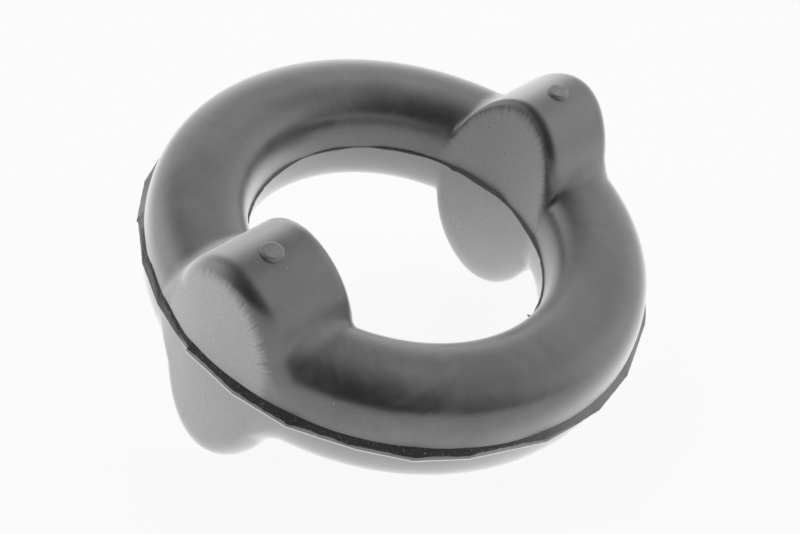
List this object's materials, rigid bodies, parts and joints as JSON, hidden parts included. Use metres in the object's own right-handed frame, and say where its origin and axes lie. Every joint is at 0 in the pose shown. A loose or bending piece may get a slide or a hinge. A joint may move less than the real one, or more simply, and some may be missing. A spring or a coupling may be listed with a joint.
{
  "type": "exhaust hanger rubber",
  "caption": "Moulded rubber ring that hangs an exhaust pipe between two hooks, with oval bump stops standing proud above and below at both ends of one diameter.",
  "frame": {"origin": "centre of the ring, on the plane where the two halves of the mould meet", "axes": "+Z along the ring's axis, out of the face with the slightly shorter bump stops; X through both bump stops; Y through the two places where the hooks pull"},
  "size_m": [0.0671, 0.0671, 0.0321],
  "materials": {
    "moulded_rubber": "as-moulded black rubber, satin, with faint blotches and a trimmed flash line"
  },
  "bodies": {
    "root": {"hanger_ring": "moulded_rubber"}
  },
  "joints": []
}
